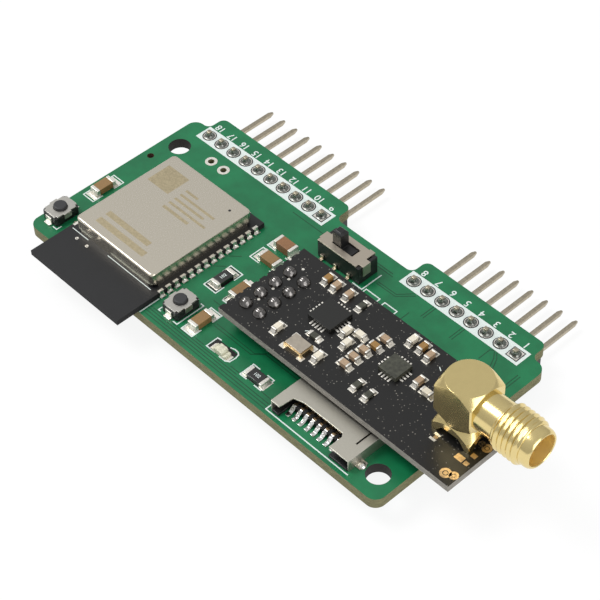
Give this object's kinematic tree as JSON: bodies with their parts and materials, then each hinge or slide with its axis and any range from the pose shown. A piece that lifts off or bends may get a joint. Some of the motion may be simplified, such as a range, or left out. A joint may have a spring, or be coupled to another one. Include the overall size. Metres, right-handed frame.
{
  "type": "wifi development board",
  "caption": "Wifi development board with shielded module, stacked radio board, coax connector, card socket, pin headers, push buttons and slide switch.",
  "frame": {"origin": "centre of the left mounting hole on the underside of the main board", "axes": "+X along the pin headers towards the coax connector, +Y towards the pin tips, +Z out of the main board's component side"},
  "size_m": [0.0791, 0.0445, 0.0165],
  "materials": {
    "green_board": "gloss solder mask over glass fibre laminate",
    "black_board": "matt black solder mask over glass fibre laminate",
    "header_plastic": "moulded, matt",
    "switch_plastic": "moulded, satin",
    "gold_plate": "gold flash over brass",
    "coax_gold": "gold plated, turned and milled",
    "crystal_gold": "ceramic with a gold rim",
    "solder": "bright solder",
    "tin_plate": "tin plated",
    "shield_steel": "pressed sheet, fine satin",
    "switch_steel": "pressed sheet, satin",
    "socket_steel": "pressed sheet, satin",
    "chip_resin": "moulded resin, matt",
    "white_ceramic": "fired, matt",
    "brown_ceramic": "fired, matt",
    "tan_ceramic": "fired, matt",
    "resistor_glaze": "black glaze",
    "lens_resin": "clear cast resin",
    "coax_insulation": "turned fluoropolymer"
  },
  "bodies": {
    "board": {"main_board": "green_board", "long_header_housing": "header_plastic", "long_header_pins": "gold_plate", "long_header_solder": "solder", "short_header_housing": "header_plastic", "short_header_pins": "gold_plate", "short_header_solder": "solder", "spacer_header_housing": "header_plastic", "spacer_header_pins": "gold_plate", "spacer_solder_lower": "solder", "spacer_solder_upper": "solder", "wifi_module_board": "black_board", "wifi_module_solder": "solder", "wifi_module_shield": "shield_steel", "wifi_module_processor": "chip_resin", "wifi_module_memory": "chip_resin", "wifi_module_crystal": "shield_steel", "boot_button_base": "switch_plastic", "boot_button_cover": "switch_steel", "boot_button_dome": "switch_steel", "boot_button_leads": "tin_plate", "enable_button_base": "switch_plastic", "enable_button_cover": "switch_steel", "enable_button_dome": "switch_steel", "enable_button_leads": "tin_plate", "slide_switch_housing": "switch_plastic", "slide_switch_cover": "switch_steel", "slide_switch_leads": "gold_plate", "card_socket_shell": "socket_steel", "card_socket_tray": "switch_plastic", "card_socket_contacts": "tin_plate", "radio_board": "black_board", "radio_chip_large": "chip_resin", "radio_chip_small": "chip_resin", "radio_chip_lands": "tin_plate", "crystal_base": "crystal_gold", "crystal_lid": "shield_steel", "radio_white_parts": "white_ceramic", "radio_brown_parts": "brown_ceramic", "radio_tan_parts": "tan_ceramic", "radio_resistors": "resistor_glaze", "radio_part_ends": "tin_plate", "board_tan_parts": "tan_ceramic", "board_brown_part": "brown_ceramic", "board_resistors": "resistor_glaze", "board_part_ends": "tin_plate", "light_base": "white_ceramic", "light_lens": "lens_resin", "coax_body": "coax_gold", "coax_insulator": "coax_insulation", "coax_contact": "coax_gold"},
    "boot_plunger": {"boot_button_plunger": "switch_plastic"},
    "enable_plunger": {"enable_button_plunger": "switch_plastic"},
    "switch_knob": {"slide_switch_knob": "switch_plastic", "slide_switch_wiper": "gold_plate"}
  },
  "joints": [
    {"name": "boot_press", "type": "slide", "parent": "board", "child": "boot_plunger", "axis": [0, 0, -1], "range_m": [0, 0.00025], "stiffness_N_per_m": 300, "springref_m": -0.0003},
    {"name": "enable_press", "type": "slide", "parent": "board", "child": "enable_plunger", "axis": [0, 0, -1], "range_m": [0, 0.00025], "stiffness_N_per_m": 300, "springref_m": -0.0003},
    {"name": "switch_slide", "type": "slide", "parent": "board", "child": "switch_knob", "axis": [1, 0, 0], "range_m": [0, 0.002]}
  ]
}
